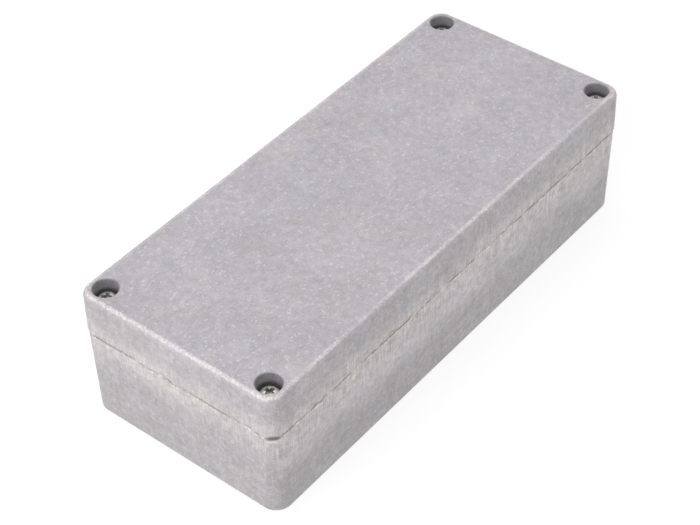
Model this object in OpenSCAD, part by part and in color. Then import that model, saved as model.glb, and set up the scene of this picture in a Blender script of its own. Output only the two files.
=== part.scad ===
// Die cast aluminium box: a deep base, a deep lid that lifts off, a rubber gasket between them,
// four lid screws sunk in wells, and an earth screw with a toothed washer in each half.
// The origin is the middle of the underside. X runs along the box, Y across it and Z up.

/* [Overall size] */
// Outside length of the box
box_l = 165; // [140:1:260]
// Outside width of the box
box_w = 70; // [62:1:120]
// Height with the lid on
box_h = 44.5; // [38:0.5:90]
// Height of the lid, from the seam to its top face
lid_h = 14; // [13:0.5:18]

/* [Outside form] */
// Radius of the base's four upright corners, measured at the seam
base_corner_r = 5.6; // [4:0.1:6.5]
// Radius of the lid's four upright corners, measured at the seam
lid_corner_r = 5; // [4:0.1:6.5]
// Radius along the lid's top edge
lid_edge_r = 1.8; // [0.8:0.1:3]
// Radius along the base's bottom edge
base_edge_r = 0.6; // [0.3:0.1:1.5]
// How far the base's outer walls lean in at the foot, as casting draft
base_lean = 0.6; // [0.1:0.05:0.9]
// How far the lid's outer walls lean in at the top, as casting draft
lid_lean = 0.2; // [0.05:0.05:0.3]
// Broken edge on both halves along the seam
seam_break = 0.2; // [0.1:0.05:0.5]

/* [Walls] */
// Thickness of the base's long walls at the seam
wall_t = 3.4; // [3:0.1:4]
// Thickness of the base between the end wells and the cavity
end_wall_t = 4; // [3.6:0.1:6]
// Thickness of the base's floor
floor_t = 3; // [2.5:0.1:5]
// Thickness of the lid's roof
roof_t = 3; // [2.5:0.1:4]
// Radius of the cavity's upright corners
cavity_r = 4; // [3:0.1:6]
// How far the inner walls lean in away from the seam, as casting draft
inner_lean = 0.35; // [0.1:0.05:0.8]
// Radius where the inner walls meet the floor and the roof
inner_fillet_r = 1.2; // [0.5:0.1:1.5]

/* [Seal] */
// Width of the groove under the lid
groove_w = 2.6; // [2.2:0.1:2.8]
// Depth of the groove under the lid
groove_d = 2.8; // [2.4:0.1:3.4]
// Thickness of the gasket, pressed
gasket_h = 1.6; // [1:0.1:2]
// Play between the gasket and each side of its groove
gasket_fit = 0.1; // [0.05:0.05:0.2]
// Width of the tongue that stands on the base's rim
tongue_w = 1.4; // [1:0.1:1.6]
// Width of the lip inside the groove
lip_w = 1.6; // [1.2:0.1:2.5]

/* [Lid screws] */
// Distance from each outer face to a lid screw's axis
screw_in = 6; // [5.5:0.1:7]
// Radius of the well in the lid over each screw
well_r = 3.75; // [3.4:0.05:4]
// Depth of that well
well_d = 5.6; // [4.5:0.1:6.5]
// Broken edge round the mouth of that well
mouth_break = 0.25; // [0.1:0.05:0.4]
// Radius of a lid screw's thread
screw_r = 1.5; // [1.25:0.05:1.6]
// Length of a lid screw under its head
screw_l = 16; // [14:1:20]
// Radius of a lid screw's head
head_r = 2.8; // [2.5:0.1:3.2]
// Height of a lid screw's head
head_h = 2.4; // [2.1:0.1:2.8]
// Height of the upright rim of that head, under its dome
head_rim_h = 1.4; // [1.1:0.1:1.8]
// Play round a screw in the lid's clearance hole
hole_play = 0.2; // [0.1:0.05:0.3]
// Play round a screw in its tapped hole, on the radius
thread_play = 0.05; // [0.02:0.01:0.08]
// Room under the tip of a screw in its tapped hole
tip_room = 2; // [0.5:0.1:3]
// Broken edge round the mouth of that tapped hole
tap_break = 0.3; // [0.1:0.05:0.4]

/* [Wall fixing] */
// Distance across the box between the wall fixing holes
fixing_pitch = 40; // [34:1:42]
// Radius of a wall fixing hole
fixing_r = 2.2; // [1.8:0.1:2.6]
// Radius of the shaft that takes a fixing screw's head
shaft_r = 3.75; // [3.4:0.05:4]
// Thickness of the foot under that head
foot_t = 5; // [3:0.5:8]

/* [Lightening pockets] */
// Thickness of the end walls outside the pockets
pocket_wall_t = 3.2; // [2.6:0.1:4]
// Thickness of the webs beside the pockets
web_t = 2.4; // [2:0.1:3.5]
// Radius of the pockets' upright corners
pocket_r = 1.6; // [1:0.1:2.2]

/* [Board bosses] */
// Distance from the cavity's end wall to a boss
boss_in_l = 9.75; // [8:0.25:16]
// Distance from the cavity's long wall to a boss
boss_in_w = 8.6; // [7:0.2:14]
// Radius of a boss at its top
boss_r = 3.2; // [2.8:0.1:4]
// Height of a boss above the floor
boss_h = 5; // [4:0.5:8]
// Radius of the blind hole in a boss
boss_hole_r = 1.25; // [1:0.05:1.6]
// Depth of that hole
boss_hole_d = 5.5; // [4:0.5:6]

/* [Earth points] */
// Distance from the cavity's end wall to the earth screw
earth_in = 8.75; // [8:0.25:14]
// Radius of an earth boss at its top
earth_boss_r = 4.6; // [4.4:0.1:6]
// Height of an earth boss
earth_boss_h = 6; // [5:0.5:7]
// Radius of the earth screw's thread
earth_r = 2; // [1.75:0.05:2.2]
// Length of the earth screw under its head
earth_l = 6; // [5:0.5:6]
// Radius of the earth screw's head
earth_head_r = 4; // [3.6:0.1:4.2]
// Height of the earth screw's head
earth_head_h = 3.1; // [2.6:0.1:3.5]
// Height of the upright rim of that head
earth_rim_h = 1.9; // [1.5:0.1:2.3]
// Thickness of the toothed washer
washer_t = 0.5; // [0.4:0.1:0.8]
// Outer radius of the toothed washer
washer_r = 4.2; // [3.9:0.1:4.4]
// Number of teeth round the washer
washer_teeth = 12; // [8:1:16]

/* [Cross recess] */
// Span of the recess, as a share of the head's width
recess_share = 0.54; // [0.4:0.02:0.7]
// Width of each wing, as a share of the span
wing_share = 0.3; // [0.2:0.01:0.36]
// Depth of the recess, as a share of the head's height
recess_depth_share = 0.6; // [0.4:0.05:0.7]
// Turn of the front left screw's recess, in degrees
turn_front_left = -2; // [-90:1:90]
// Turn of the front right screw's recess, in degrees
turn_front_right = 30; // [-90:1:90]
// Turn of the back left screw's recess, in degrees
turn_back_left = 33; // [-90:1:90]
// Turn of the back right screw's recess, in degrees
turn_back_right = 36; // [-90:1:90]

/* [Hidden] */
$fn = 96;
// overshoot that keeps cuts open
eps = 0.5;
// fineness of the rounded edges
arc_steps_per_mm = 3.5;
base_h = box_h - lid_h;
// axes of the lid screws, from the middle of the box
screw_x = box_l / 2 - screw_in;
screw_y = box_w / 2 - screw_in;
// the cavity at the seam
cavity_l = 2 * (screw_x - shaft_r - end_wall_t);
cavity_w = box_w - 2 * wall_t;
// the seal runs along the middle of the tongue, and both halves take it from the cavity's edge
seal_out = tongue_w / 2;
groove_in = seal_out - groove_w / 2;
groove_out = seal_out + groove_w / 2;
hollow_in = groove_in - lip_w;
tongue_h = groove_d - gasket_h;
gasket_z = base_h + tongue_h;
// seat and tip of the lid screws
seat_z = box_h - well_d;
tip_z = seat_z - screw_l;
// heights inside
roof_z = box_h - roof_t;
// wall fixing
fixing_y = fixing_pitch / 2;
// end zones outside the seal
pocket_in_x = cavity_l / 2 + wall_t;
pocket_out_x = box_l / 2 - pocket_wall_t;
base_pocket_y = fixing_y - shaft_r - web_t;
lid_pocket_y = screw_y - well_r - web_t;
// board bosses and earth points
boss_x = cavity_l / 2 - boss_in_l;
boss_y = cavity_w / 2 - boss_in_w;
boss_lean = 0.3;
earth_x = earth_in - cavity_l / 2;
base_earth_z = floor_t + earth_boss_h;
lid_earth_z = roof_z - earth_boss_h;
// washer teeth
tooth_gap_l = 1.1;
tooth_gap_share = 0.45;
// length of a screw's point, as a share of its thread's radius
point_share = 1 / 3;
// radii of the cone in a cross recess, as shares of its wing's width and of its span
cone_foot_share = 0.6;
cone_mouth_share = 0.32;

// ---- shared forms ----

// Points of an arc round c, from one angle to another.
function arc(c, r, from, to) =
    let (steps = max(3, ceil(arc_steps_per_mm * r)))
    [for (k = [0 : steps]) let (a = from + (to - from) * k / steps) c + r * [cos(a), sin(a)]];

// Wall profile from the corner's axis outwards: it leans by lean over height h, is narrower at y = 0,
// has an edge radius edge_r there, if any, and a broken edge at the top, if any.
module wall_profile(r, h, lean, edge_r, broken) {
    slope = atan(lean / h);
    cx = r - lean * (1 - edge_r / h) - edge_r / cos(slope);
    foot = edge_r > 0 ? arc([cx, edge_r], edge_r, -90, -slope) : [[r - lean, 0]];
    top = broken > 0 ? [[r - lean * broken / h, h - broken], [r - broken, h]] : [[r, h]];
    polygon(concat([[0, 0]], foot, top, [[0, h]]));
}

// Block with four round upright corners of radius r: the child is its wall profile, h high.
module round_block(l, w, r, h) {
    dx = l / 2 - r;
    dy = w / 2 - r;
    translate([-dx, -dy, 0]) cube([2 * dx, 2 * dy, h]);
    for (side = [0, 180]) rotate(side) {
        translate([dx, dy, 0]) rotate([90, 0, 0]) linear_extrude(2 * dy) children();
        translate([-dx, dy, 0]) rotate(90) rotate([90, 0, 0]) linear_extrude(2 * dx) children();
        translate([dx, dy, 0]) rotate_extrude(angle = 90) children();
        translate([-dx, dy, 0]) rotate(90) rotate_extrude(angle = 90) children();
    }
}

// Leaning block, with edge_r round the small end at z = 0.
module cast_block(l, w, r, h, lean, edge_r = 0, broken = 0) {
    round_block(l, w, r, h) wall_profile(r, h, lean, edge_r, broken);
}

// Plain block with round upright corners.
module plain_block(l, w, r, h) {
    round_block(l, w, r, h) square([r, h]);
}

// Closed loop round the cavity, from offset in to offset out of the cavity's edge.
module loop(in, out, h) {
    difference() {
        plain_block(cavity_l + 2 * out, cavity_w + 2 * out, cavity_r + out, h);
        translate([0, 0, -eps])
            plain_block(cavity_l + 2 * in, cavity_w + 2 * in, cavity_r + in, h + 2 * eps);
    }
}

// Places its child at the four corners of a rectangle.
module at_corners(x, y) {
    for (sx = [-1, 1], sy = [-1, 1]) translate([sx * x, sy * y, 0]) children();
}

// Bore from z = 0 up to height h, with a broken edge round its mouth there.
module broken_bore(r, h, broken) {
    cylinder(h = h + eps, r = r);
    translate([0, 0, h - broken]) cylinder(h = broken + eps, r1 = r, r2 = r + broken + eps);
}

// Boss that rises from z = 0, wider at its foot.
module boss(r, h) {
    cylinder(h = h, r1 = r + boss_lean, r2 = r);
}

// Pan head screw with its seat at z = 0, its head up and its thread down.
module pan_screw(thread_r, length, rim_r, height, rim_h) {
    dome = height - rim_h;
    dome_r = (rim_r * rim_r + dome * dome) / (2 * dome);
    span = 2 * rim_r * recess_share;
    wing = span * wing_share;
    depth = height * recess_depth_share;
    point = thread_r * point_share;
    difference() {
        intersection() {
            cylinder(h = height + eps, r = rim_r);
            translate([0, 0, height - dome_r]) sphere(dome_r);
        }
        for (turn = [0, 90]) rotate(turn)
            translate([-span / 2, -wing / 2, height - depth]) cube([span, wing, height]);
        translate([0, 0, height - depth])
            cylinder(h = depth + eps, r1 = wing * cone_foot_share, r2 = span * cone_mouth_share);
    }
    rotate_extrude()
        polygon([[0, 0], [0, -length], [thread_r - point, -length], [thread_r, point - length], [thread_r, 0]]);
}

// ---- base ----

// Well from the rim for a wall fixing screw's head, with its hole through the foot.
module fixing_cut() {
    translate([0, 0, foot_t]) cylinder(h = base_h, r = shaft_r);
    translate([0, 0, -eps]) cylinder(h = base_h, r = fixing_r);
}

// Two pockets between the wells at one end, with a web between them.
module base_pockets() {
    l = pocket_out_x - pocket_in_x;
    w = base_pocket_y - web_t / 2;
    for (side = [-1, 1])
        translate([(pocket_in_x + pocket_out_x) / 2, side * (base_pocket_y + web_t / 2) / 2, floor_t])
            cast_block(l, w, pocket_r, base_h, inner_lean);
}

module base() {
    color("lightgray") difference() {
        union() {
            cast_block(box_l, box_w, base_corner_r, base_h, base_lean, base_edge_r, seam_break);
            translate([0, 0, base_h]) loop(0, tongue_w, tongue_h);
        }
        difference() {
            translate([0, 0, floor_t])
                cast_block(cavity_l, cavity_w, cavity_r, base_h - floor_t + tongue_h + eps,
                           inner_lean, inner_fillet_r);
            at_corners(boss_x, boss_y) boss(boss_r, floor_t + boss_h);
            translate([earth_x, 0, 0]) boss(earth_boss_r, base_earth_z);
        }
        at_corners(boss_x, boss_y)
            translate([0, 0, floor_t + boss_h - boss_hole_d]) cylinder(h = boss_hole_d + eps, r = boss_hole_r);
        translate([earth_x, 0, base_earth_z + washer_t - earth_l - eps])
            cylinder(h = earth_l + eps, r = earth_r + thread_play);
        at_corners(screw_x, screw_y) translate([0, 0, tip_z - tip_room])
            broken_bore(screw_r + thread_play, base_h - tip_z + tip_room, tap_break);
        at_corners(screw_x, fixing_y) fixing_cut();
        for (end = [0, 180]) rotate(end) base_pockets();
    }
}

// ---- lid ----

// Three pockets in a row at one end of the lid, with webs between them.
module lid_pockets() {
    l = pocket_out_x - pocket_in_x;
    pitch = (2 * lid_pocket_y + web_t) / 3;
    for (k = [-1, 0, 1])
        translate([(pocket_in_x + pocket_out_x) / 2, k * pitch, roof_z]) mirror([0, 0, 1])
            cast_block(l, pitch - web_t, pocket_r, lid_h, inner_lean);
}

module lid() {
    color("gainsboro") difference() {
        translate([0, 0, box_h]) mirror([0, 0, 1])
            cast_block(box_l, box_w, lid_corner_r, lid_h, lid_lean, lid_edge_r, seam_break);
        difference() {
            translate([0, 0, roof_z]) mirror([0, 0, 1])
                cast_block(cavity_l + 2 * hollow_in, cavity_w + 2 * hollow_in, cavity_r + hollow_in,
                           lid_h - roof_t + eps, inner_lean, inner_fillet_r);
            translate([earth_x, 0, box_h]) mirror([0, 0, 1]) boss(earth_boss_r, box_h - lid_earth_z);
        }
        translate([0, 0, base_h - eps]) loop(groove_in, groove_out, groove_d + eps);
        translate([earth_x, 0, lid_earth_z - eps])
            cylinder(h = earth_l - washer_t + 2 * eps, r = earth_r + thread_play);
        at_corners(screw_x, screw_y) {
            translate([0, 0, seat_z]) broken_bore(well_r, well_d, mouth_break);
            translate([0, 0, base_h - eps]) cylinder(h = lid_h, r = screw_r + hole_play);
        }
        for (end = [0, 180]) rotate(end) lid_pockets();
    }
}

// ---- gasket ----

module gasket() {
    color("dimgray") translate([0, 0, gasket_z])
        loop(groove_in + gasket_fit, groove_out - gasket_fit, gasket_h);
}

// ---- lid screws ----

// The lid screw at the corner on sides sx and sy, with its recess turned.
module lid_screw(sx, sy, turn) {
    color("silver") translate([sx * screw_x, sy * screw_y, seat_z]) rotate(turn)
        pan_screw(screw_r, screw_l, head_r, head_h, head_rim_h);
}

module lid_screw_front_left() {
    lid_screw(-1, -1, turn_front_left);
}

module lid_screw_front_right() {
    lid_screw(1, -1, turn_front_right);
}

module lid_screw_back_left() {
    lid_screw(-1, 1, turn_back_left);
}

module lid_screw_back_right() {
    lid_screw(1, 1, turn_back_right);
}

// ---- earth points ----

// Earth screw with its seat at z = 0.
module earth_screw() {
    pan_screw(earth_r, earth_l, earth_head_r, earth_head_h, earth_rim_h);
}

// Washer with teeth round its rim, lying on z = 0.
module toothed_washer() {
    gap = 2 * PI * washer_r / washer_teeth * tooth_gap_share;
    difference() {
        cylinder(h = washer_t, r = washer_r);
        translate([0, 0, -eps]) cylinder(h = washer_t + 2 * eps, r = earth_r + hole_play);
        for (k = [0 : washer_teeth - 1]) rotate(360 * k / washer_teeth)
            translate([washer_r - tooth_gap_l, -gap / 2, -eps]) cube([2 * tooth_gap_l, gap, washer_t + 2 * eps]);
    }
}

module base_earth_screw() {
    color("silver") translate([earth_x, 0, base_earth_z + washer_t]) earth_screw();
}

module base_earth_washer() {
    color("darkgray") translate([earth_x, 0, base_earth_z]) toothed_washer();
}

module lid_earth_screw() {
    color("silver") translate([earth_x, 0, lid_earth_z - washer_t]) mirror([0, 0, 1]) earth_screw();
}

module lid_earth_washer() {
    color("darkgray") translate([earth_x, 0, lid_earth_z]) mirror([0, 0, 1]) toothed_washer();
}

base();
lid();
gasket();
lid_screw_front_left();
lid_screw_front_right();
lid_screw_back_left();
lid_screw_back_right();
base_earth_screw();
base_earth_washer();
lid_earth_screw();
lid_earth_washer();
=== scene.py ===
"""Finish, screws, seal and stage of a die cast aluminium box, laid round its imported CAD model.

The two castings keep their CAD shape and take a procedural finish. The six screws with their
threads, the toothed washers and the gasket are modelled here and stand for the plain CAD ones.
Lengths are in metres, in the frame of the CAD model.
"""

import math

import bpy
from bpy.props import FloatProperty, FloatVectorProperty, IntProperty, PointerProperty
from mathutils import Euler, Matrix, Vector


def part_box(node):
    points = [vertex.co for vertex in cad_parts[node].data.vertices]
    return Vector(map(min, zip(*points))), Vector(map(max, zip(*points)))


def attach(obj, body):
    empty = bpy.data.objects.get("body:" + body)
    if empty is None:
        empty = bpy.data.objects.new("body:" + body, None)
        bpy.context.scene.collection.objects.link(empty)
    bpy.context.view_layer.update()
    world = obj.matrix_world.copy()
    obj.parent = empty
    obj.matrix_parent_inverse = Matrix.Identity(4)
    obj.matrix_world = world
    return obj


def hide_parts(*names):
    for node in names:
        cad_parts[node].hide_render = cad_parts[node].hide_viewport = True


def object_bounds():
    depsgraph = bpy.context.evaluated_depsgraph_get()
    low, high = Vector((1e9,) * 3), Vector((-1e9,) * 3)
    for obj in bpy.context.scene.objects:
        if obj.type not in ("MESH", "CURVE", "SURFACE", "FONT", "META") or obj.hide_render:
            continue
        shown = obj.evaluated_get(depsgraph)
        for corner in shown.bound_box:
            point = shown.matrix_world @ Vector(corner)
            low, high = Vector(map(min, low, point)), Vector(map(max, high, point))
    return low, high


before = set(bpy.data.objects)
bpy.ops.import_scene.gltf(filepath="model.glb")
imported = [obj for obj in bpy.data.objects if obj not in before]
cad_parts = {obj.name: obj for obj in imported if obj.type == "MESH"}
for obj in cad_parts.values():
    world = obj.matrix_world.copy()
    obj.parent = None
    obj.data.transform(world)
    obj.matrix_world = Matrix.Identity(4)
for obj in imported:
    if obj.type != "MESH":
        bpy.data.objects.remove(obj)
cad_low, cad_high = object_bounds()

bl_info = {
    "name": "Die cast aluminium box",
    "version": (1, 0, 0),
    "blender": (4, 5, 0),
    "location": "View3D > Sidebar > Cast box",
    "description": "Finishes a die cast aluminium box and sets it on a plain stage",
    "category": "Object",
}

MM = 0.001
CASTINGS = ("base", "lid")
WASHERS = {"base_earth_washer": "base_body", "lid_earth_washer": "lid_body"}
# each lid screw's node, its body and the turn of its cross recess in degrees
LID_SCREWS = {
    "lid_screw_front_left": ("screw_front_left_body", -2),
    "lid_screw_front_right": ("screw_front_right_body", 30),
    "lid_screw_back_left": ("screw_back_left_body", 33),
    "lid_screw_back_right": ("screw_back_right_body", 36),
}
# the same for the earth screws
EARTH_SCREWS = {
    "base_earth_screw": ("base_body", 12),
    "lid_earth_screw": ("lid_body", 57),
}
# screws that hang head down
HEAD_DOWN = ("lid_earth_screw",)
# the thread's outline, as shares of its pitch
THREAD_DEPTH = 0.61
THREAD_HALF_ROOT = 0.12
THREAD_FLANK = 0.31
THREAD_CREST = 0.14
# edges of the metal parts that turn by more than this stay sharp
METAL_CREASE = math.radians(32)
# points closer than this are one
TOUCHING = 1e-6


# ---------------------------------------------------------------------------------------------
# Settings


def length(name, description, default):
    """A setting that holds a small length."""
    return FloatProperty(
        name=name, description=description, default=default,
        unit="LENGTH", precision=5, min=0.01 * MM, max=100 * MM)


def share(name, description, default):
    """A setting that holds a share from 0 to 1."""
    return FloatProperty(
        name=name, description=description, default=default, subtype="FACTOR", min=0, max=1)


def colour(name, description, default):
    """A setting that holds a colour."""
    return FloatVectorProperty(
        name=name, description=description, default=default, subtype="COLOR", size=3, min=0, max=1)


class CastFinish(bpy.types.PropertyGroup):
    """Colours and grain of the tumbled castings."""

    cool_grey: colour(
        "Cool grey", "Skin of the casting where it is bluest", (0.475, 0.463, 0.492))
    warm_grey: colour(
        "Warm grey", "Skin of the casting where it is warmest", (0.488, 0.463, 0.480))
    wall_grey: colour(
        "Wall grey", "Skin of the outer walls", (0.526, 0.508, 0.514))
    seam_grey: colour(
        "Seam grey", "Skin of the outer walls near the seam", (0.531, 0.508, 0.510))
    # painted highlight: besides worn edges and chipped spots, this colour paints the highlight along the
    # lid's top edge, the light in the seam's groove and the highlight on the base's rim at the corners
    bright_metal_and_highlight: colour(
        "Bright metal", "Rubbed edges and chips", (0.92, 0.87, 0.81))
    fleck: colour(
        "Fleck", "Flecks and scratches", (0.82, 0.80, 0.81))
    # painted shadow: this colour also darkens the base under the lid's overhang at the rounded corners,
    # besides the grime along the seam and in pits
    seam_dirt_and_shadow: colour(
        "Seam dirt", "Dirt that lies along the seam", (0.200, 0.170, 0.150))
    stain: colour(
        "Stain", "Brown marks near the seam", (0.330, 0.300, 0.255))
    grain: length("Grain", "Width of the finest grain", 0.45 * MM)
    roughness: share("Roughness", "Roughness of the skin", 0.80)


class SteelFinish(bpy.types.PropertyGroup):
    """Colours and roughness of the screws and washers."""

    # the heads' tops take the lighter, lit copy of the steel
    head: colour("Head", "Stainless steel of the screws' heads", (0.80, 0.785, 0.74))
    head_roughness: share("Head roughness", "Roughness of the heads", 0.50)
    # painted shade: the recesses take a darker copy of the steel
    recess: colour("Recess", "Steel inside the cross recesses", (0.42, 0.41, 0.37))
    recess_roughness: share("Recess roughness", "Roughness of the recesses", 0.55)
    # painted shade: the same steel as on the heads, darker on the heads' rims and on the threads
    side: colour("Side", "Steel on the heads' rims and on the threads", (0.54, 0.53, 0.51))
    side_roughness: share("Side roughness", "Roughness of rims and threads", 0.45)
    washer: colour("Washer", "Steel of the toothed washers", (0.58, 0.58, 0.56))
    washer_roughness: share("Washer roughness", "Roughness of the washers", 0.38)


class CrossRecess(bpy.types.PropertyGroup):
    """Cross recess and fineness of all the screws."""

    span: share("Span", "Span of the recess, as a share of the head's width", 0.66)
    wing: share("Wing", "Width of each wing, as a share of the span", 0.35)
    depth: share("Depth", "Depth of the recess, as a share of the head's height", 0.50)
    taper: share("Taper", "Size of the recess at its foot, as a share of its mouth", 0.60)
    facets: IntProperty(
        name="Facets", description="Sides round a screw's head and steps in two turns of its thread",
        min=16, max=96, default=48)


class LidScrew(bpy.types.PropertyGroup):
    """Sizes of a lid screw."""

    thread_radius: length("Thread radius", "Outer radius of the thread", 1.5 * MM)
    length: length("Length", "Length under the head", 16 * MM)
    head_height: length("Head height", "Height of the head", 2.4 * MM)
    rim_height: length("Rim height", "Height of the head's upright rim", 1.4 * MM)
    pitch: length("Pitch", "Pitch of the thread", 0.5 * MM)


class EarthScrew(bpy.types.PropertyGroup):
    """Sizes of an earth screw."""

    thread_radius: length("Thread radius", "Outer radius of the thread", 2 * MM)
    length: length("Length", "Length under the head", 6 * MM)
    head_height: length("Head height", "Height of the head", 3.1 * MM)
    rim_height: length("Rim height", "Height of the head's upright rim", 1.9 * MM)
    pitch: length("Pitch", "Pitch of the thread", 0.7 * MM)


class ToothedWasher(bpy.types.PropertyGroup):
    """Sizes of the toothed washers."""

    hole_radius: length("Hole radius", "Radius of the hole", 2.15 * MM)
    root_radius: length("Root radius", "Radius at the foot of the teeth", 3.1 * MM)
    sheet: length("Sheet", "Thickness of the steel sheet", 0.30 * MM)
    teeth: IntProperty(name="Teeth", description="Number of teeth", min=6, max=18, default=12)
    twist: FloatProperty(
        name="Twist", description="How far each tooth is twisted",
        subtype="ANGLE", min=0, max=math.radians(20), default=math.radians(10.5))


class Seal(bpy.types.PropertyGroup):
    """Section and colours of the gasket."""

    width: length("Width", "Width of the gasket's section", 2.4 * MM)
    corner_radius: length("Corner radius", "Outer radius at the gasket's four corners", 5.9 * MM)
    edge_radius: length("Edge radius", "Rounding along the gasket's edges", 0.3 * MM)
    print_width: length("Print width", "Width of the channel that the rim has pressed in", 1.4 * MM)
    print_depth: length("Print depth", "Depth of that channel", 0.12 * MM)
    rubber: colour("Rubber", "Colour of the clean rubber", (0.018, 0.018, 0.020))
    bloom: colour("Bloom", "Colour of the rubber where it has bloomed", (0.045, 0.045, 0.048))


class Stage(bpy.types.PropertyGroup):
    """Camera, floor and sky."""

    azimuth: FloatProperty(
        name="Azimuth", description="Direction of the camera round the box",
        subtype="ANGLE", default=math.radians(-50.49))
    elevation: FloatProperty(
        name="Elevation", description="Height of the camera over the horizon",
        subtype="ANGLE", default=math.radians(42.87))
    roll: FloatProperty(
        name="Roll", description="Tilt of the camera about its own line of sight",
        subtype="ANGLE", default=math.radians(1.47))
    distance: FloatProperty(
        name="Distance", description="Distance from the camera to the point it looks at",
        unit="LENGTH", min=0.1, max=3, default=0.5499)
    aim: FloatVectorProperty(
        name="Aim", description="Point that the camera looks at",
        subtype="TRANSLATION", size=3, precision=4, default=(-0.0100, -0.0021, 0.0223))
    lens: FloatProperty(
        name="Lens", description="Focal length of the camera in millimetres",
        min=20, max=200, default=97.23)
    floor_colour: colour("Floor", "Colour of the floor, as it lights the box", (0.86, 0.86, 0.86))
    shadow_grey: colour(
        "Shadow grey", "Colour by which the floor shows shadow to the camera", (0.30, 0.30, 0.30))
    floor_glow: share("Floor glow", "Glow that lifts the floor to white for the camera", 0.76)
    sky: share("Sky", "Strength of the sky's light on the box", 0.55)


# ---------------------------------------------------------------------------------------------
# Materials


class Finish:
    """One material, with short ways to add the nodes that a finish is made of."""

    def __init__(self, name):
        # the CAD nodes come with plain materials, one of which may hold the name
        old = bpy.data.materials.get(name)
        if old is not None:
            old.name = name + "_plain"
        self.material = bpy.data.materials.new(name)
        self.material.use_nodes = True
        self.nodes = self.material.node_tree.nodes
        self.links = self.material.node_tree.links
        self.shader = self.nodes["Principled BSDF"]
        spot = self.nodes.new("ShaderNodeTexCoord")
        self.place = spot.outputs["Object"]
        self.normal = spot.outputs["Normal"]

    def feed(self, socket, value):
        """Sets a socket to a plain value, or links another node's output to it."""
        if isinstance(value, bpy.types.NodeSocket):
            self.links.new(value, socket)
        elif socket.type == "RGBA":
            socket.default_value = (*value, 1)
        else:
            socket.default_value = value

    def calc(self, operation, first, second=0.0, third=0.0):
        """The result of one sum."""
        node = self.nodes.new("ShaderNodeMath")
        node.operation = operation
        for socket, value in zip(node.inputs, (first, second, third)):
            self.feed(socket, value)
        return node.outputs[0]

    def times(self, first, *others):
        """The product of several values."""
        for other in others:
            first = self.calc("MULTIPLY", first, other)
        return first

    def most(self, first, *others):
        """The largest of several values."""
        for other in others:
            first = self.calc("MAXIMUM", first, other)
        return first

    def swing(self, value, amount, middle=1.0):
        """Turns noise round 0.5 into a value that swings round the middle."""
        return self.calc("MULTIPLY_ADD", self.calc("SUBTRACT", value, 0.5), amount, middle)

    def parts(self, vector):
        """The three parts of a vector."""
        node = self.nodes.new("ShaderNodeSeparateXYZ")
        self.feed(node.inputs[0], vector)
        return node.outputs

    def band(self, value, low, high):
        """Rises smoothly from 0 at low to 1 at high; high may be the smaller."""
        node = self.nodes.new("ShaderNodeMapRange")
        node.interpolation_type = "SMOOTHSTEP"
        reverse = high < low
        self.feed(node.inputs["Value"], value)
        node.inputs["From Min"].default_value = high if reverse else low
        node.inputs["From Max"].default_value = low if reverse else high
        node.inputs["To Min"].default_value = 1 if reverse else 0
        node.inputs["To Max"].default_value = 0 if reverse else 1
        return node.outputs["Result"]

    def laid(self, size, turn=0.0, shift=0.0):
        """Object coordinates counted in a feature's size, turned about Z and shifted."""
        node = self.nodes.new("ShaderNodeMapping")
        self.feed(node.inputs["Vector"], self.place)
        size = size if isinstance(size, tuple) else (size,) * 3
        node.vector_type = "TEXTURE"
        node.inputs["Location"].default_value = (shift, shift * 0.7, shift * 0.3)
        node.inputs["Rotation"].default_value = (0, 0, turn)
        node.inputs["Scale"].default_value = size
        return node.outputs["Vector"]

    def noise(self, size, detail=2.0, rough=0.5, turn=0.0, shift=0.0):
        """Noise whose features are about that size, as a value round 0.5."""
        node = self.nodes.new("ShaderNodeTexNoise")
        self.feed(node.inputs["Vector"], self.laid(size, turn, shift))
        node.inputs["Scale"].default_value = 1
        node.inputs["Detail"].default_value = detail
        node.inputs["Roughness"].default_value = rough
        return node.outputs["Fac"]

    def marks(self, pitch, reach, kept, turn=0.0, shift=0.0):
        """Marks scattered a pitch apart, of a given reach; a share is kept, few of them strong."""
        node = self.nodes.new("ShaderNodeTexVoronoi")
        self.feed(node.inputs["Vector"], self.laid(pitch, turn, shift))
        node.inputs["Scale"].default_value = 1
        chance = self.band(self.parts(node.outputs["Color"])[0], 1 - kept, 1)
        return self.times(self.band(node.outputs["Distance"], reach, 0), chance, chance)

    def blend(self, amount, first, second):
        """A mix of two colours."""
        node = self.nodes.new("ShaderNodeMix")
        node.data_type = "RGBA"
        # the colour sockets share their names with others, so they go by number
        self.feed(node.inputs["Factor"], amount)
        self.feed(node.inputs[6], first)
        self.feed(node.inputs[7], second)
        return node.outputs[2]

    def shade(self, base, amount):
        """A colour made lighter or darker by a factor."""
        node = self.nodes.new("ShaderNodeVectorMath")
        node.operation = "SCALE"
        self.feed(node.inputs[0], base)
        self.feed(node.inputs["Scale"], amount)
        return node.outputs[0]

    def relief(self, height, depth, below=None):
        """A bump of that depth, laid over another one."""
        node = self.nodes.new("ShaderNodeBump")
        node.inputs["Distance"].default_value = depth
        self.feed(node.inputs["Height"], height)
        if below is not None:
            self.feed(node.inputs["Normal"], below)
        return node.outputs["Normal"]

    def surface(self, base, roughness, metallic, normal):
        """Ends the finish on its shader."""
        self.feed(self.shader.inputs["Base Color"], base)
        self.feed(self.shader.inputs["Roughness"], roughness)
        self.shader.inputs["Metallic"].default_value = metallic
        self.feed(self.shader.inputs["Normal"], normal)
        return self.material


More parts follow.
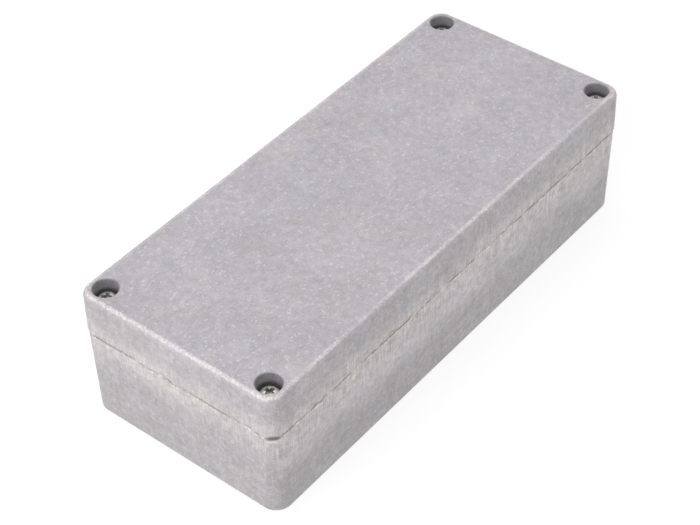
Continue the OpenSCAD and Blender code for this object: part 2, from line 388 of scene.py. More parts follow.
class CastSkin(Finish):
    """Tumbled die cast aluminium, with the zones that its marks lie in."""

    def __init__(self, look, well_foot):
        super().__init__("cast_aluminium")
        self.look = look
        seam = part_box("lid")[0].z
        along, across, self.height = self.parts(self.place)
        along = self.calc("ABSOLUTE", along)
        across = self.calc("ABSOLUTE", across)
        facing_x, facing_y, self.upward = self.parts(self.normal)
        # zones, each 1 inside and 0 outside: by the outline, on the outer walls, on the top
        self.outer = self.most(
            self.band(along, cad_high.x - 2.6 * MM, cad_high.x - 2.0 * MM),
            self.band(across, cad_high.y - 2.6 * MM, cad_high.y - 2.0 * MM))
        self.on_wall = self.times(self.outer, self.band(self.upward, 0.50, 0.20))
        self.on_top = self.times(
            self.band(self.upward, 0.80, 0.98),
            self.band(self.height, cad_high.z - 1.0 * MM, cad_high.z - 0.5 * MM))
        # the outer walls of the short sides
        facing_x = self.calc("ABSOLUTE", facing_x)
        self.on_end = self.times(self.on_wall, self.band(facing_x, 0.55, 0.85))
        # 0 on flat walls, 0.7 in the middle of a rounded corner
        self.corner = self.calc("MINIMUM", facing_x, self.calc("ABSOLUTE", facing_y))
        # depth under the seam
        self.drop = self.calc("SUBTRACT", seam, self.height)
        outline_radius = 5 * MM
        self.inset = self.from_outline(along, across, outline_radius)
        # the outer walls with their broken edges, but no level face
        level = self.band(self.calc("ABSOLUTE", self.upward), 0.85, 0.98)
        self.at_seam = self.times(self.outer, self.calc("SUBTRACT", 1.0, level))
        # the lid's edge along the short sides
        self.end_edge = self.band(self.calc("SUBTRACT", along, across), 40 * MM, 44 * MM)
        self.find_wells(along, across, well_foot)

    def find_wells(self, along, across, foot):
        """Zones in the screw wells: the whole wall, its mouth, and the part beside the head; the mouth and
        the part beside the head take painted shade.
        """
        low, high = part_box("lid_screw_back_right")
        dx = self.calc("SUBTRACT", along, (low.x + high.x) / 2)
        dy = self.calc("SUBTRACT", across, (low.y + high.y) / 2)
        from_axis = self.calc("SQRT", self.calc("ADD", self.times(dx, dx), self.times(dy, dy)))
        reach, edge = 4 * MM, 0.02 * MM
        self.in_well = self.times(
            self.band(from_axis, reach + edge, reach - edge),
            self.band(self.height, foot - 0.6 * MM, foot - 0.3 * MM))
        self.well_mouth = self.times(
            self.in_well, self.band(self.height, cad_high.z - 5.0 * MM, cad_high.z - 0.4 * MM))
        self.beside_head = self.times(
            self.in_well, self.band(self.height, foot + 2.7 * MM, foot + 1.6 * MM))

    def from_outline(self, along, across, radius):
        """How far in from the lid's rounded outline a spot lies, seen from above."""
        past_x = self.calc("SUBTRACT", along, cad_high.x - radius)
        past_y = self.calc("SUBTRACT", across, cad_high.y - radius)
        flat = self.calc("MINIMUM", self.most(past_x, past_y), 0.0)
        past_x, past_y = self.most(past_x, 0.0), self.most(past_y, 0.0)
        curved = self.calc(
            "SQRT", self.calc("ADD", self.times(past_x, past_x), self.times(past_y, past_y)))
        return self.calc("SUBTRACT", radius, self.calc("ADD", curved, flat))

    def skin(self):
        """The mottled grey of the whole casting, and the roughness and relief that go with it."""
        clouds = self.noise(16 * MM, detail=3)
        mottle = self.noise(1.9 * MM, detail=4, rough=0.6)
        grain = self.noise(self.look.grain, detail=2, rough=0.65)
        hue = self.noise(9 * MM, detail=3, rough=0.6, shift=0.31)
        grey = self.blend(self.band(hue, 0.34, 0.66), self.look.cool_grey, self.look.warm_grey)
        grey = self.blend(self.times(self.on_wall, 0.6), grey, self.look.wall_grey)
        near = self.times(self.band(self.drop, 8 * MM, 2 * MM), self.band(self.drop, -6 * MM, -1 * MM))
        grey = self.blend(self.times(near, self.on_wall), grey, self.look.seam_grey)
        blotch = self.noise(5 * MM, detail=2, shift=0.4)
        mottling = self.times(
            self.calc("SUBTRACT", mottle, 0.5), self.calc("MULTIPLY_ADD", self.on_wall, 0.06, 0.60))
        blotching = self.times(
            self.calc("SUBTRACT", blotch, 0.5), self.calc("MULTIPLY_ADD", self.on_wall, 0.10, 0.06))
        tone = self.times(
            self.swing(clouds, 0.20), self.calc("ADD", mottling, 1.0),
            self.calc("ADD", blotching, 1.0), self.swing(grain, 0.50), self.tone_by_height())
        rough = self.swing(mottle, 0.22, self.look.roughness)
        normal = self.relief(clouds, 0.22 * MM)
        normal = self.relief(mottle, 0.06 * MM, normal)
        normal = self.relief(grain, 0.03 * MM, normal)
        return self.shade(grey, tone), rough, normal

    def tone_by_height(self):
        """How the walls are brighter round the seam than towards the top and the foot."""
        wander = self.times(
            self.swing(self.noise(20 * MM, detail=3, shift=0.12), 12 * MM, 0),
            self.calc("MULTIPLY_ADD", self.on_end, -0.5, 1.0))
        drop = self.calc("ADD", self.drop, wander)
        lower = self.calc("MULTIPLY_ADD", self.on_end, 6 * MM, drop)
        above = self.times(self.band(drop, -7 * MM, -3 * MM), self.band(self.drop, 0, -0.5 * MM), 0.08)
        below = self.times(
            self.band(self.drop, 0, 0.8 * MM), self.band(lower, 18 * MM, 9 * MM),
            self.calc("MULTIPLY_ADD", self.on_end, -0.03, 0.13))
        foot = self.times(self.band(lower, 10 * MM, 22 * MM), 0.05)
        gain = self.calc("SUBTRACT", self.calc("ADD", above, below), self.calc("ADD", foot, 0.06))
        return self.calc("ADD", self.times(gain, self.on_wall), 1.0)

    def drawn_lines(self):
        """Fine upright lines on the walls, strongest just under the seam and on the long sides."""
        lines = self.noise((0.40 * MM, 0.40 * MM, 9 * MM), detail=3, rough=0.6)
        strong = self.times(self.band(self.drop, 12 * MM, 4 * MM), self.band(self.drop, -6 * MM, 0.5 * MM))
        zone = self.times(
            self.on_wall, self.calc("MULTIPLY_ADD", strong, 0.65, 0.35),
            self.calc("MULTIPLY_ADD", self.on_end, -0.20, 1.0))
        return self.times(self.calc("SUBTRACT", lines, 0.5), zone)

    def flecks(self):
        """Short bright dents all over the outside, and a few longer scratches on top."""
        found = 0.0
        turns = (0.3, 1.2, 2.1, 2.8)
        strength = self.most(self.times(self.outer, 0.30), self.times(self.on_top, 0.42), 0.16)
        for number, turn in enumerate(turns):
            fleck = self.marks((2.3 * MM, 0.9 * MM, 1.3 * MM), 0.38, 0.50, turn, 0.03 * number)
            scratch = self.marks((20 * MM, 1.0 * MM, 9 * MM), 0.22, 0.10, turn, 0.11 * number)
            fleck = self.times(fleck, strength)
            found = self.most(found, fleck, self.times(scratch, self.on_top, 0.45))
        return self.times(found, self.band(self.in_well, 0.6, 0.1))

    def rubbed_edge_and_highlight(self):
        """The worn edge round the top of the lid with a painted highlight laid along it, widest at the
        short ends, fading at the corners.
        """
        inset = self.calc("MULTIPLY_ADD", self.end_edge, 0.3 * MM, self.inset)
        ragged = self.swing(self.noise(1.3 * MM, detail=3, rough=0.7), 0.9 * MM, 0)
        inset = self.calc("ADD", inset, ragged)
        zone = self.times(
            self.band(inset, 0.75 * MM, 1.10 * MM),
            self.band(inset, 2.1 * MM, 1.65 * MM),
            self.band(self.upward, 0.30, 0.50),
            self.band(self.height, cad_high.z - 2.2 * MM, cad_high.z - 1.6 * MM),
            self.band(self.corner, 0.62, 0.35))
        worn = self.band(self.noise(0.55 * MM, detail=3, rough=0.7), 0.38, 0.60)
        patchy = self.band(self.noise(14 * MM, detail=3, shift=0.5), 0.40, 0.62)
        amount = self.calc("MULTIPLY_ADD", worn, 0.32, 0.10)
        amount = self.times(amount, self.most(self.end_edge, self.calc("MULTIPLY_ADD", patchy, 0.6, 0.4)))
        return self.times(zone, amount)

    def seam_marks(self):
        """Chipped spots and grime along the seam, as a bright and a dark amount; the bright one also holds
        painted light in the groove and a painted highlight on the base's rim, the dark one a painted
        shadow under the lid at the corners.
        """
        fine = self.noise(1.5 * MM, detail=3, rough=0.75)
        broken = self.noise(7 * MM, detail=3, shift=0.05)
        drop = self.calc("ADD", self.drop, self.swing(self.noise(3 * MM, detail=3), 2.6 * MM, 0))
        bright_seam_marks = self.times(
            self.band(drop, 1.5 * MM, 0.9 * MM), self.band(drop, 0.1 * MM, 0.5 * MM),
            self.band(fine, 0.52, 0.62), 0.55)
        line = self.times(
            self.band(self.calc("ABSOLUTE", drop), 0.60 * MM, 0.10 * MM),
            self.band(fine, 0.28, 0.60), self.band(broken, 0.34, 0.60), 0.60)
        groove = self.band(self.calc("ABSOLUTE", self.drop), 0.45 * MM, 0.20 * MM)
        clogged = self.band(self.noise(4 * MM, detail=3, shift=0.6), 0.40, 0.58)
        gap = self.times(groove, clogged, 0.38)
        # painted light that lifts the groove's shade where it is not clogged
        painted_groove_light = self.times(groove, self.calc("SUBTRACT", 1.0, clogged), 0.40)
        round_corner = self.band(self.corner, 0.25, 0.60)
        # painted shadow on the base just under the lid's overhang at the rounded corners
        painted_corner_shadow = self.times(
            self.band(self.drop, 1.7 * MM, 1.0 * MM), self.band(self.drop, -0.1 * MM, 0.05 * MM),
            round_corner, 0.9)
        lit_rim = self.times(
            self.band(self.drop, 2.7 * MM, 2.2 * MM), self.band(self.drop, 1.4 * MM, 1.9 * MM),
            round_corner, self.band(fine, 0.35, 0.60), 0.35)
        # the dark amount is grime with the painted shadow; the bright one is chipped spots with the
        # painted light in the groove and the painted highlight on the rim
        dirt_and_shadow = self.most(line, gap, painted_corner_shadow)
        bright = self.most(bright_seam_marks, painted_groove_light, lit_rim)
        return self.times(bright, self.at_seam), self.times(dirt_and_shadow, self.at_seam)

    def stains(self):
        """Brown smears and small dark pits, most of them just under the seam."""
        near = self.times(self.band(self.drop, 9 * MM, 4 * MM), self.band(self.drop, -4 * MM, -0.5 * MM))
        cloudy = self.noise((3.5 * MM, 3.5 * MM, 2.5 * MM), detail=4, rough=0.65, shift=0.2)
        pit = self.marks((2.6 * MM, 2.6 * MM, 3.8 * MM), 0.16, 0.35, shift=0.27)
        streaky = self.noise((2.4 * MM, 2.4 * MM, 6 * MM), detail=4, rough=0.65, shift=0.33)
        down_corner = self.times(self.band(self.corner, 0.10, 0.35), self.band(streaky, 0.46, 0.68), 0.26)
        smear = self.times(
            self.band(cloudy, 0.52, 0.68), near, self.calc("MULTIPLY_ADD", self.on_end, -0.30, 0.45))
        smear = self.times(self.most(smear, down_corner), self.on_wall)
        return smear, self.times(pit, near, self.on_wall)

    def finished(self):
        """The whole finish."""
        look = self.look
        base, rough, normal = self.skin()
        drawn = self.drawn_lines()
        base = self.shade(base, self.calc("MULTIPLY_ADD", drawn, 0.80, 1.0))
        # painted shade in the wells, darker at the mouth and beside and just above the head
        painted_well_shade = self.calc("MULTIPLY_ADD", self.well_mouth, 0.17, self.times(self.beside_head, 0.40))
        base = self.shade(base, self.calc("SUBTRACT", 1.0, painted_well_shade))
        bright_seam_marks, dirt_and_shadow = self.seam_marks()
        smear, pit = self.stains()
        base = self.blend(smear, base, look.stain)
        flecks = self.flecks()
        # worn metal, with the painted highlight on the lid's top edge and the painted light along the seam
        worn_and_highlit = self.most(self.rubbed_edge_and_highlight(), bright_seam_marks)
        base = self.blend(flecks, base, look.fleck)
        base = self.blend(worn_and_highlit, base, look.bright_metal_and_highlight)
        base = self.blend(self.most(dirt_and_shadow, pit), base, look.seam_dirt_and_shadow)
        # tool rings on the walls of the wells
        ring_pitch = 0.30 * MM
        rings = self.calc("SINE", self.times(self.height, math.tau / ring_pitch))
        rough = self.calc("MULTIPLY_ADD", self.most(flecks, worn_and_highlit), -0.12, rough)
        normal = self.relief(drawn, 0.05 * MM, normal)
        normal = self.relief(self.times(pit, -1.0), 0.10 * MM, normal)
        normal = self.relief(self.times(rings, self.in_well), 0.004 * MM, normal)
        return self.surface(base, rough, 1.0, normal)


def plain_steel(name, base, roughness):
    """Screw and washer steel with fine tool marks."""
    steel = Finish(name)
    marks = steel.noise(0.12 * MM, detail=3, rough=0.6)
    stain = steel.noise(1.4 * MM, detail=2)
    tone = steel.times(steel.swing(marks, 0.25), steel.swing(stain, 0.30))
    rough = steel.swing(marks, 0.20, roughness)
    return steel.surface(steel.shade(tuple(base), tone), rough, 1.0, steel.relief(marks, 0.01 * MM))


def seal_rubber(seal):
    """Soft black rubber with a faint bloom."""
    rubber = Finish("seal_rubber")
    bloom = rubber.noise(2.5 * MM, detail=3)
    pores = rubber.noise(0.25 * MM, detail=2)
    base = rubber.blend(rubber.band(bloom, 0.35, 0.70), seal.rubber, seal.bloom)
    return rubber.surface(base, rubber.swing(bloom, 0.20, 0.65), 0.0, rubber.relief(pores, 0.02 * MM))


def dress(node, material):
    """Gives a CAD node its finish."""
    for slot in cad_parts[node].material_slots:
        slot.material = material


# ---------------------------------------------------------------------------------------------
# Modelling by hand


def only(piece):
    """Makes one object the only selected one, and the active one."""
    bpy.ops.object.select_all(action="DESELECT")
    piece.select_set(True)
    bpy.context.view_layer.objects.active = piece


def started(name):
    """Names the primitive that was just added, sets its place in its mesh and opens it."""
    piece = bpy.context.object
    piece.name = name
    piece.data.name = name
    only(piece)
    bpy.ops.object.transform_apply(location=True, rotation=True, scale=True)
    bpy.ops.object.mode_set(mode="EDIT")
    bpy.ops.mesh.select_all(action="DESELECT")
    bpy.ops.mesh.select_mode(type="FACE")
    return piece


def ended():
    """Closes the piece that is open."""
    bpy.ops.object.mode_set(mode="OBJECT")


def pick_points(piece, wanted):
    """Selects the vertices whose place passes a test."""
    bpy.ops.mesh.select_mode(type="VERT")
    bpy.ops.mesh.select_all(action="DESELECT")
    bpy.ops.object.mode_set(mode="OBJECT")
    for point in piece.data.vertices:
        point.select = wanted(point.co)
    bpy.ops.object.mode_set(mode="EDIT")


def pick_faces(piece, wanted):
    """Selects the faces whose middle and normal pass a test."""
    bpy.ops.mesh.select_all(action="DESELECT")
    bpy.ops.object.mode_set(mode="OBJECT")
    for face in piece.data.polygons:
        face.select = wanted(face.center, face.normal)
    bpy.ops.object.mode_set(mode="EDIT")


def cut_with(piece, tool, operation):
    """Applies a boolean of one object on another, and takes the tool away."""
    only(piece)
    change = piece.modifiers.new("cut", "BOOLEAN")
    change.object = tool
    change.operation = operation
    change.solver = "EXACT"
    change.material_mode = "TRANSFER"
    bpy.ops.object.modifier_apply(modifier=change.name)
    bpy.data.objects.remove(tool)
    bpy.ops.object.mode_set(mode="EDIT")
    bpy.ops.mesh.select_all(action="SELECT")
    bpy.ops.mesh.remove_doubles(threshold=2 * TOUCHING)
    bpy.ops.mesh.dissolve_degenerate(threshold=TOUCHING)
    ended()


def seat(piece, node, body):
    """Puts a finished piece in the place of a CAD node, on its body."""
    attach(piece, body)
    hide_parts(node)


def screw_head(name, radius, sizes, facets):
    """A pan head: an upright rim with a dome over it, its underside at Z 0."""
    rim = sizes.rim_height
    dome = sizes.head_height - rim
    dome_steps = 9
    dome_angle = math.radians(82)
    bpy.ops.mesh.primitive_cylinder_add(
        vertices=facets, radius=radius, depth=rim, location=(0, 0, rim / 2))
    head = started(name)
    pick_faces(head, lambda middle, normal: normal.z > 0.9)
    for step in range(dome_steps):
        before = dome_angle * step / dome_steps
        after = dome_angle * (step + 1) / dome_steps
        bpy.ops.mesh.inset(
            thickness=radius * (math.cos(before) - math.cos(after)),
            depth=dome * (math.sin(after) - math.sin(before)))
    ended()
    return head


def cross_cutter(name, radius, sizes, recess):
    """A tapered cross that cuts the recess, its mouth a little over the head's top."""
    span = 2 * radius * recess.span
    wing = span * recess.wing
    depth = sizes.head_height * recess.depth
    over = 0.4 * MM
    middle = sizes.head_height + (over - depth) / 2
    bpy.ops.mesh.primitive_cube_add(size=wing, location=(0, 0, middle))
    cutter = started(name)
    bpy.ops.mesh.select_all(action="SELECT")
    bpy.ops.transform.resize(value=(1, 1, (depth + over) / wing), center_override=(0, 0, middle))
    pick_faces(cutter, lambda middle, normal: abs(normal.z) < 0.5)
    bpy.ops.mesh.extrude_faces_move(TRANSFORM_OT_shrink_fatten={"value": (span - wing) / 2})
    pick_faces(cutter, lambda middle, normal: normal.z < -0.5)
    bpy.ops.transform.resize(
        value=(recess.taper, recess.taper, 1), center_override=(0, 0, sizes.head_height - depth))
    ended()
    return cutter


def thread_sweep(name, sizes, facets, above):
    """The thread's outline swept round and up, over a turn past both ends, and closed there."""
    pitch = sizes.pitch
    depth = THREAD_DEPTH * pitch
    overrun = 1.4 * pitch
    spare_turns = 3
    bpy.ops.mesh.primitive_plane_add(size=pitch)
    shank = started(name)
    bpy.ops.mesh.select_mode(type="VERT")
    bpy.ops.mesh.select_all(action="SELECT")
    bpy.ops.mesh.merge(type="CENTER")
    bpy.ops.transform.translate(
        value=(sizes.thread_radius - depth, 0, -sizes.length - overrun))
    for outward, rise in (
        (0, THREAD_HALF_ROOT), (depth, THREAD_FLANK), (0, THREAD_CREST),
        (-depth, THREAD_FLANK), (0, THREAD_HALF_ROOT),
    ):
        bpy.ops.mesh.extrude_vertices_move(
            TRANSFORM_OT_translate={"value": (outward, 0, rise * pitch)})
    ended()
    sweep = shank.modifiers.new("thread", "SCREW")
    sweep.axis = "Z"
    sweep.angle = math.tau
    sweep.screw_offset = pitch
    sweep.iterations = math.ceil((sizes.length + above) / pitch) + spare_turns
    sweep.steps = sweep.render_steps = facets // 2
    sweep.use_merge_vertices = True
    sweep.merge_threshold = 0.1 * TOUCHING
    bpy.ops.object.modifier_apply(modifier=sweep.name)
    bpy.ops.object.mode_set(mode="EDIT")
    bpy.ops.mesh.select_all(action="SELECT")
    bpy.ops.mesh.remove_doubles(threshold=TOUCHING)
    # both open ends are drawn in to the axis
    bpy.ops.mesh.select_mode(type="EDGE")
    bpy.ops.mesh.select_all(action="DESELECT")
    bpy.ops.mesh.select_non_manifold()
    bpy.ops.mesh.extrude_edges_move()
    bpy.ops.transform.resize(value=(0, 0, 1), center_override=(0, 0, 0))
    halfway = -sizes.length / 2
    for side in (1, -1):
        pick_points(shank, lambda spot: spot.xy.length < TOUCHING and side * (spot.z - halfway) > 0)
        bpy.ops.mesh.merge(type="CENTER")
    bpy.ops.mesh.select_all(action="SELECT")
    bpy.ops.mesh.normals_make_consistent(inside=False)
    ended()
    return shank


def threaded_shank(name, sizes, facets):
    """A threaded shank that hangs from just inside the head and has a chamfered tip."""
    into_head = 0.3 * MM
    oversize = 1.05
    shank = thread_sweep(name, sizes, facets, into_head)
    outer = sizes.thread_radius * oversize
    chamfer = THREAD_DEPTH * sizes.pitch + outer - sizes.thread_radius
    bpy.ops.mesh.primitive_cylinder_add(
        vertices=facets, radius=outer, depth=sizes.length + into_head,
        location=(0, 0, (into_head - sizes.length) / 2))
    blank = started("blank")
    pick_faces(blank, lambda middle, normal: normal.z < -0.9)
    bpy.ops.transform.translate(value=(0, 0, chamfer))
    bpy.ops.mesh.extrude_region_move(TRANSFORM_OT_translate={"value": (0, 0, -chamfer)})
    shrink = (outer - chamfer) / outer
    bpy.ops.transform.resize(value=(shrink, shrink, 1), center_override=(0, 0, -sizes.length))
    ended()
    # the thread takes the steel painted darker as shade
    for piece in (shank, blank):
        piece.data.materials.append(bpy.data.materials["shaded_side_steel"])
    cut_with(shank, blank, "INTERSECT")
    return shank


def whole_screw(name, sizes, radius, recess):
    """A pan head screw with a cross recess and a thread, its head's underside at Z 0."""
    screw = screw_head(name, radius, sizes, recess.facets)
    for steel in ("stainless_steel", "shaded_side_steel"):
        screw.data.materials.append(bpy.data.materials[steel])
    # faces that point up take the lit head steel, the others the same steel painted darker as shade
    for face in screw.data.polygons:
        face.material_index = int(face.normal.z < 0.2)
    cutter = cross_cutter("cross", radius, sizes, recess)
    # the recess takes the darker steel as painted shade
    cutter.data.materials.append(bpy.data.materials["shaded_recess_steel"])
    cut_with(screw, cutter, "DIFFERENCE")
    cut_with(screw, threaded_shank("shank", sizes, recess.facets), "UNION")
    only(screw)
    bpy.ops.object.shade_smooth_by_angle(angle=METAL_CREASE)
    return screw


def set_screws(screws, sizes, recess):
    """Models one kind of screw and sets a copy in each CAD screw's place, head up or down."""
    low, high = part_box(next(iter(screws)))
    pattern = whole_screw("pattern", sizes, (high.x - low.x) / 2, recess)
    for node, (body, turn) in screws.items():
        low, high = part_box(node)
        middle = (low + high) / 2
        copy = pattern.copy()
        copy.data = pattern.data.copy()
        copy.name = node + "_threaded"
        copy.data.name = copy.name
        bpy.context.scene.collection.objects.link(copy)
        down = node in HEAD_DOWN
        level = high.z - sizes.length if down else low.z + sizes.length
        copy.matrix_world = (
            Matrix.Translation((middle.x, middle.y, level))
            @ Matrix.Rotation(math.pi if down else 0, 4, "X")
            @ Matrix.Rotation(math.radians(turn), 4, "Z"))
        only(copy)
        bpy.ops.object.transform_apply(location=True, rotation=True, scale=True)
        seat(copy, node, body)
    bpy.data.objects.remove(pattern)


def grow_edges(factor):
    """Extrudes the selected edges outwards, away from the Z axis."""
    bpy.ops.mesh.extrude_edges_move()
    bpy.ops.transform.resize(value=(factor, factor, 1), center_override=(0, 0, 0))


def toothed_washer(name, sizes, radius):
    """A ring of sheet steel with a row of twisted teeth round it, its middle at the origin."""
    pitch = math.tau / sizes.teeth
    half_tooth = 0.3 * pitch

    def starts_tooth(spot):
        """Whether a point on the ring's outer edge lies at the foot of a tooth."""
        from_middle = (math.atan2(spot.y, spot.x) + pitch / 2) % pitch - pitch / 2
        return spot.xy.length > 0.99 * sizes.root_radius and abs(from_middle) < half_tooth

    def in_first_tooth(spot):
        """Whether a point lies at the tip of the tooth that points along X."""
        return spot.x > 1.1 * sizes.root_radius and abs(math.atan2(spot.y, spot.x)) < half_tooth

    bpy.ops.mesh.primitive_circle_add(vertices=4 * sizes.teeth, radius=sizes.hole_radius)
    washer = started(name)
    bpy.ops.mesh.select_mode(type="EDGE")
    bpy.ops.mesh.select_all(action="SELECT")
    grow_edges(sizes.root_radius / sizes.hole_radius)
    pick_points(washer, starts_tooth)
    bpy.ops.mesh.select_mode(type="EDGE")
    grow_edges(radius / sizes.root_radius)
    for _ in range(sizes.teeth):
        pick_points(washer, in_first_tooth)
        bpy.ops.transform.rotate(value=sizes.twist, orient_axis="X", center_override=(0, 0, 0))
        bpy.ops.mesh.select_all(action="SELECT")
        bpy.ops.transform.rotate(value=pitch, orient_axis="Z", center_override=(0, 0, 0))
    ended()
    sheet = washer.modifiers.new("sheet", "SOLIDIFY")
    sheet.thickness = sizes.sheet
    sheet.offset = 0
    bpy.ops.object.modifier_apply(modifier=sheet.name)
    bpy.ops.object.shade_smooth_by_angle(angle=METAL_CREASE)
    return washer


def modelled_gasket(name, seal):
    """A flat ring with soft edges, its underside marked where the base's rim presses on it."""
    low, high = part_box("gasket")
    size = high - low
    corner_steps, edge_steps = 16, 4
    crease = math.radians(40)
    bpy.ops.mesh.primitive_plane_add(size=1, location=(0, 0, low.z))
    bpy.context.object.scale = (size.x, size.y, 1)
    ring = started(name)
    bpy.ops.mesh.select_all(action="SELECT")
    bpy.ops.mesh.bevel(
        affect="VERTICES", offset=seal.corner_radius, offset_type="OFFSET", segments=corner_steps)
    bpy.ops.mesh.select_all(action="SELECT")
    bpy.ops.mesh.inset(thickness=seal.width)
    bpy.ops.mesh.delete(type="FACE")
    bpy.ops.mesh.select_all(action="SELECT")
    bpy.ops.mesh.extrude_region_move(TRANSFORM_OT_translate={"value": (0, 0, size.z)})
    bpy.ops.mesh.select_all(action="SELECT")
    bpy.ops.mesh.normals_make_consistent(inside=False)
    bpy.ops.mesh.select_all(action="DESELECT")
    bpy.ops.mesh.select_mode(type="EDGE")
    bpy.ops.mesh.edges_select_sharp(sharpness=math.radians(60))
    bpy.ops.mesh.bevel(offset=seal.edge_radius, segments=edge_steps, profile=0.5)
    bpy.ops.mesh.select_mode(type="FACE")
    pick_faces(ring, lambda middle, normal: normal.z < -0.99)
    bpy.ops.mesh.inset(thickness=(seal.width - seal.print_width) / 2 - seal.edge_radius)
    bpy.ops.mesh.inset(thickness=seal.print_depth, depth=-seal.print_depth)
    ended()
    bpy.ops.object.shade_smooth_by_angle(angle=crease)
    return ring


# ---------------------------------------------------------------------------------------------
# Stage


def seen_directly(nodes, links):
    """1 for rays from the camera and for what metal or glass shows, otherwise 0."""
    path = nodes.new("ShaderNodeLightPath")
    seen = path.outputs["Is Camera Ray"]
    for kind in ("Is Glossy Ray", "Is Transmission Ray"):
        either = nodes.new("ShaderNodeMath")
        either.operation = "MAXIMUM"
        links.new(seen, either.inputs[0])
        links.new(path.outputs[kind], either.inputs[1])
        seen = either.outputs[0]
    return seen


def lay_floor(stage):
    """A wide pale floor that shows white and keeps the box's shadow, a hair under the box."""
    width = 6
    gap = 0.05 * MM
    bpy.ops.mesh.primitive_plane_add(size=width, location=(0, 0, cad_low.z - gap))
    floor = started("floor")
    bpy.ops.mesh.select_all(action="SELECT")
    bpy.ops.mesh.subdivide(number_cuts=3)
    ended()
    finish = Finish("floor")
    nodes, links = finish.nodes, finish.links
    nodes.remove(finish.shader)
    paint = nodes.new("ShaderNodeBsdfDiffuse")
    paint.inputs["Color"].default_value = (*stage.floor_colour, 1)
    thin = nodes.new("ShaderNodeBsdfDiffuse")
    thin.inputs["Color"].default_value = (*stage.shadow_grey, 1)
    glow = nodes.new("ShaderNodeEmission")
    glow.inputs["Strength"].default_value = stage.floor_glow
    lifted = nodes.new("ShaderNodeAddShader")
    links.new(thin.outputs[0], lifted.inputs[0])
    links.new(glow.outputs[0], lifted.inputs[1])
    choice = nodes.new("ShaderNodeMixShader")
    links.new(seen_directly(nodes, links), choice.inputs[0])
    links.new(paint.outputs[0], choice.inputs[1])
    links.new(lifted.outputs[0], choice.inputs[2])
    links.new(choice.outputs[0], nodes["Material Output"].inputs["Surface"])
    floor.data.materials.append(finish.material)


def light_world(stage):
    """A soft even sky, white where it is seen directly or in the metal."""
    world = bpy.data.worlds.new("sky")
    bpy.context.scene.world = world
    world.use_nodes = True
    nodes, links = world.node_tree.nodes, world.node_tree.links
    soft = nodes["Background"]
    soft.inputs["Color"].default_value = (1, 1, 1, 1)
    soft.inputs["Strength"].default_value = stage.sky
    white = nodes.new("ShaderNodeBackground")
    white.inputs["Color"].default_value = (1, 1, 1, 1)
    white.inputs["Strength"].default_value = 1
    choice = nodes.new("ShaderNodeMixShader")
    links.new(seen_directly(nodes, links), choice.inputs[0])
    links.new(soft.outputs[0], choice.inputs[1])
    links.new(white.outputs[0], choice.inputs[2])
    links.new(choice.outputs[0], nodes["World Output"].inputs["Surface"])


def hang_lamps():
    """Soft boxes: the main one low on the left, a weaker one overhead and a faint one in front."""
    for name, spot, size, watts in (
        ("left_lamp", (-0.95, 0.05, 0.24), 0.9, 8.4),
        ("top_lamp", (0.15, 0.15, 1.10), 0.9, 3.5),
        ("front_lamp", (-0.20, -1.10, 0.45), 0.8, 0.8),
    ):
        bpy.ops.object.light_add(type="AREA", location=spot)
        lamp = bpy.context.object
        lamp.name = name
        lamp.data.size = size
        lamp.data.energy = watts
        lamp.rotation_euler = (-Vector(spot)).to_track_quat("-Z", "Y").to_euler()


def place_camera(stage):
    """The camera, placed by its direction and distance from the point it looks at."""
    level = math.cos(stage.elevation)
    back = Vector((
        math.sin(stage.azimuth) * level,
        -math.cos(stage.azimuth) * level,
        math.sin(stage.elevation)))
    bpy.ops.object.camera_add(location=Vector(stage.aim) + back * stage.distance)
    camera = bpy.context.object
    camera.name = "camera"
    turned = (-back).to_track_quat("-Z", "Y") @ Euler((0, 0, -stage.roll)).to_quaternion()
    camera.rotation_euler = turned.to_euler()
    camera.data.lens = stage.lens
    camera.data.clip_start = 10 * MM
    bpy.context.scene.camera = camera


# ---------------------------------------------------------------------------------------------
# Operators


class BOX_OT_dress_castings(bpy.types.Operator):
    """Give the base and the lid their tumbled die cast finish"""

    bl_idname = "box.dress_castings"
    bl_label = "Finish the castings"

    def execute(self, context):
        scene = context.scene
        well_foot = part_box("lid_screw_back_right")[0].z + scene.lid_screw.length
        material = CastSkin(scene.cast_finish, well_foot).finished()
        for node in CASTINGS:
            dress(node, material)
        return {"FINISHED"}


class BOX_OT_make_gasket(bpy.types.Operator):
    """Model the rubber gasket"""

    bl_idname = "box.make_gasket"
    bl_label = "Model the gasket"

    def execute(self, context):
        seal = context.scene.seal
        gasket = modelled_gasket("gasket_moulded", seal)
        gasket.data.materials.append(seal_rubber(seal))
        seat(gasket, "gasket", "lid_body")
        return {"FINISHED"}


class BOX_OT_mix_steels(bpy.types.Operator):
    """Make the finishes of the steel parts"""

    bl_idname = "box.mix_steels"
    bl_label = "Mix the steel finishes"

    def execute(self, context):
        look = context.scene.steel_finish
        # the head and side steels are a lit and a shaded copy of one steel, and the recess steel a darker
        # shaded copy
        plain_steel("stainless_steel", look.head, look.head_roughness)
        plain_steel("shaded_recess_steel", look.recess, look.recess_roughness)
        plain_steel("shaded_side_steel", look.side, look.side_roughness)
        plain_steel("washer_steel", look.washer, look.washer_roughness)
        return {"FINISHED"}


class BOX_OT_make_lid_screws(bpy.types.Operator):
    """Model the four lid screws and set them in their wells"""

    bl_idname = "box.make_lid_screws"
    bl_label = "Model the lid screws"

    def execute(self, context):
        set_screws(LID_SCREWS, context.scene.lid_screw, context.scene.cross_recess)
        return {"FINISHED"}


class BOX_OT_make_earth_screws(bpy.types.Operator):
    """Model the two earth screws and set them on their bosses"""

    bl_idname = "box.make_earth_screws"
    bl_label = "Model the earth screws"

    def execute(self, context):
        set_screws(EARTH_SCREWS, context.scene.earth_screw, context.scene.cross_recess)
        return {"FINISHED"}


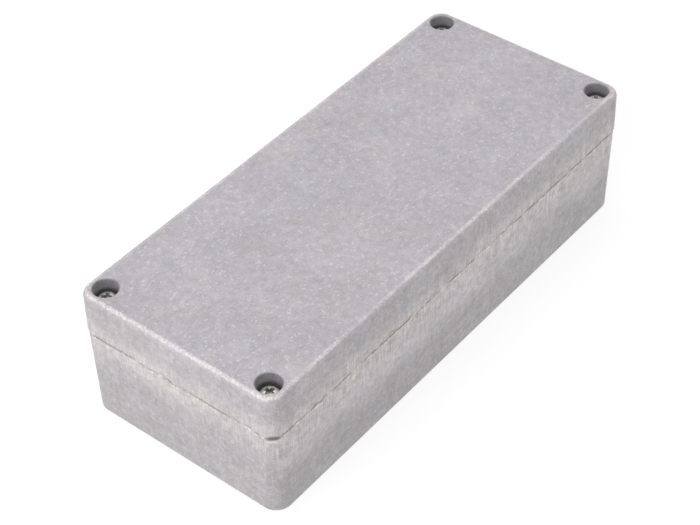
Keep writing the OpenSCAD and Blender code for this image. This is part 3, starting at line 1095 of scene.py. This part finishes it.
class BOX_OT_make_washers(bpy.types.Operator):
    """Model the two toothed washers and set them under the earth screws"""

    bl_idname = "box.make_washers"
    bl_label = "Model the toothed washers"

    def execute(self, context):
        for node, body in WASHERS.items():
            low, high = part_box(node)
            washer = toothed_washer(node + "_toothed", context.scene.toothed_washer, (high.x - low.x) / 2)
            washer.location = (low + high) / 2
            only(washer)
            bpy.ops.object.transform_apply(location=True, rotation=True, scale=True)
            washer.data.materials.append(bpy.data.materials["washer_steel"])
            seat(washer, node, body)
        return {"FINISHED"}


class BOX_OT_set_stage(bpy.types.Operator):
    """Lay the floor, hang the lamps and place the camera"""

    bl_idname = "box.set_stage"
    bl_label = "Set the stage"

    def execute(self, context):
        stage = context.scene.box_stage
        lay_floor(stage)
        light_world(stage)
        hang_lamps()
        place_camera(stage)
        context.scene.view_settings.view_transform = "Standard"
        return {"FINISHED"}


# ---------------------------------------------------------------------------------------------
# Sidebar and registration


class VIEW3D_PT_cast_box(bpy.types.Panel):
    """Lists the steps that finish the box"""

    bl_label = "Cast box"
    bl_space_type = "VIEW_3D"
    bl_region_type = "UI"
    bl_category = "Cast box"

    def draw(self, context):
        for setting, steps in STEPS.items():
            box = self.layout.box()
            box.label(text=setting.replace("_", " ").capitalize())
            group = getattr(context.scene, setting)
            for name in group.__annotations__:
                box.prop(group, name)
            for step in steps:
                box.operator(step.bl_idname)


# each group of settings, by the name it has on the scene
SETTINGS = {
    "cast_finish": CastFinish,
    "steel_finish": SteelFinish,
    "cross_recess": CrossRecess,
    "lid_screw": LidScrew,
    "earth_screw": EarthScrew,
    "toothed_washer": ToothedWasher,
    "seal": Seal,
    "box_stage": Stage,
}
# each group of settings with its own steps, in the order in which they run; the cross recess
# has none, as both kinds of screw use it
STEPS = {
    "cast_finish": (BOX_OT_dress_castings,),
    "steel_finish": (BOX_OT_mix_steels,),
    "cross_recess": (),
    "lid_screw": (BOX_OT_make_lid_screws,),
    "earth_screw": (BOX_OT_make_earth_screws,),
    "toothed_washer": (BOX_OT_make_washers,),
    "seal": (BOX_OT_make_gasket,),
    "box_stage": (BOX_OT_set_stage,),
}
CLASSES = (
    *SETTINGS.values(),
    *(step for steps in STEPS.values() for step in steps),
    VIEW3D_PT_cast_box,
)


def register():
    for cls in CLASSES:
        bpy.utils.register_class(cls)
    for name, group in SETTINGS.items():
        setattr(bpy.types.Scene, name, PointerProperty(type=group))


def unregister():
    for name in SETTINGS:
        delattr(bpy.types.Scene, name)
    for cls in reversed(CLASSES):
        bpy.utils.unregister_class(cls)


def main():
    """Registers the add-on and runs its steps in order."""
    register()
    bpy.ops.box.dress_castings()
    bpy.ops.box.mix_steels()
    bpy.ops.box.make_lid_screws()
    bpy.ops.box.make_earth_screws()
    bpy.ops.box.make_washers()
    bpy.ops.box.make_gasket()
    bpy.ops.box.set_stage()


if __name__ == "__main__":
    main()
